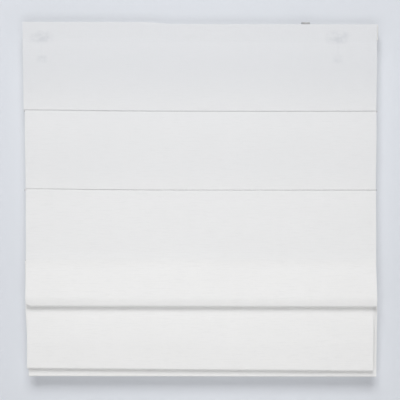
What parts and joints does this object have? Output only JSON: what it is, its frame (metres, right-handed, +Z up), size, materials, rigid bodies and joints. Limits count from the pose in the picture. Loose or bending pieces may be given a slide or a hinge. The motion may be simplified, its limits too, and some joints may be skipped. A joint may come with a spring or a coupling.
{
  "type": "roman blind",
  "caption": "White cloth roman blind, partly drawn up, with stacked folds, hidden rods and a spring-driven cordless headrail on two wall brackets.",
  "frame": {"origin": "middle of the four wall screw holes of the two brackets, on the wall's face", "axes": "+X to the right as seen from the room, +Y into the wall, +Z up"},
  "size_m": [0.803, 0.0624, 0.81],
  "materials": {
    "cloth": "white plain weave with slubs",
    "rail_paint": "white powder coat on aluminium",
    "tape": "white hook and loop tape",
    "zinc_steel": "zinc plated",
    "cam_plastic": "dark grey moulded nylon",
    "cord": "white braided polyester",
    "motor_plastic": "grey moulded",
    "spring_steel": "blued spring steel",
    "rod_steel": "drawn steel",
    "bar_aluminium": "mill finish",
    "clear_plastic": "natural moulded plastic",
    "white_plastic": "white moulded plastic"
  },
  "bodies": {
    "headrail": {"headrail": "rail_paint", "hook_tape": "tape", "loop_tape": "tape", "end_cap_left": "white_plastic", "end_cap_right": "white_plastic", "bracket_left": "zinc_steel", "bracket_right": "zinc_steel", "drum_cradle_left": "white_plastic", "drum_cradle_right": "white_plastic", "shaft_support": "white_plastic", "motor_case": "motor_plastic", "motor_cover": "motor_plastic", "brake_spring": "spring_steel", "power_spring": "spring_steel", "cloth": "cloth", "lift_cord_left": "cord", "lift_cord_right": "cord", "cord_guide_left": "clear_plastic", "cord_guide_right": "clear_plastic"},
    "locking_cam_left": {"cam_left": "cam_plastic", "cam_lever_left": "cam_plastic", "cam_rivet_left": "zinc_steel"},
    "locking_cam_right": {"cam_right": "cam_plastic", "cam_lever_right": "cam_plastic", "cam_rivet_right": "zinc_steel"},
    "drive": {"drive_shaft": "rod_steel", "drum_left": "white_plastic", "drum_right": "white_plastic", "cord_winding_left": "cord", "cord_winding_right": "cord", "motor_arbor": "motor_plastic"},
    "first_rod": {"rod_1": "rod_steel", "rod_1_clip_left": "clear_plastic", "rod_1_clip_right": "clear_plastic"},
    "second_rod": {"rod_2": "rod_steel", "rod_2_clip_left": "clear_plastic", "rod_2_clip_right": "clear_plastic"},
    "third_rod": {"rod_3": "rod_steel", "rod_3_clip_left": "clear_plastic", "rod_3_clip_right": "clear_plastic"},
    "fourth_rod": {"rod_4": "rod_steel", "rod_4_clip_left": "clear_plastic", "rod_4_clip_right": "clear_plastic", "cord_stop_left": "clear_plastic", "cord_stop_right": "clear_plastic", "bottom_bar": "bar_aluminium", "bar_cap_left": "white_plastic", "bar_cap_right": "white_plastic"}
  },
  "joints": [
    {"name": "rod_1_lift", "type": "slide", "parent": "headrail", "child": "first_rod", "axis": [0, 0, 1], "range_m": [0, 0.1]},
    {"name": "rod_2_lift", "type": "slide", "parent": "first_rod", "child": "second_rod", "axis": [0, 0, 1], "range_m": [0, 0.165]},
    {"name": "rod_3_lift", "type": "slide", "parent": "second_rod", "child": "third_rod", "axis": [0, 0, 1], "range_m": [-0.222, 0.15], "deforming": ["cloth", "lift_cord_left", "lift_cord_right"]},
    {"name": "rod_4_lift", "type": "slide", "parent": "third_rod", "child": "fourth_rod", "axis": [0, 0, 1], "range_m": [-0.474, 0]},
    {"name": "drive_turn", "type": "hinge", "parent": "headrail", "child": "drive", "pos_m": [0, -0.02307, -0.0084], "axis": [1, 0, 0], "range_deg": [-1015, 1500], "deforming": ["power_spring"]},
    {"name": "cam_left_turn", "type": "hinge", "parent": "headrail", "child": "locking_cam_left", "pos_m": [-0.271, -0.023, 0.01], "axis": [0, 0, 1], "range_deg": [0, 90]},
    {"name": "cam_right_turn", "type": "hinge", "parent": "headrail", "child": "locking_cam_right", "pos_m": [0.271, -0.023, 0.01], "axis": [0, 0, 1], "range_deg": [0, 90]}
  ],
  "couplings": [
    {"joint": "drive_turn", "follows": "rod_3_lift", "rad_per_m": -117.65}
  ]
}
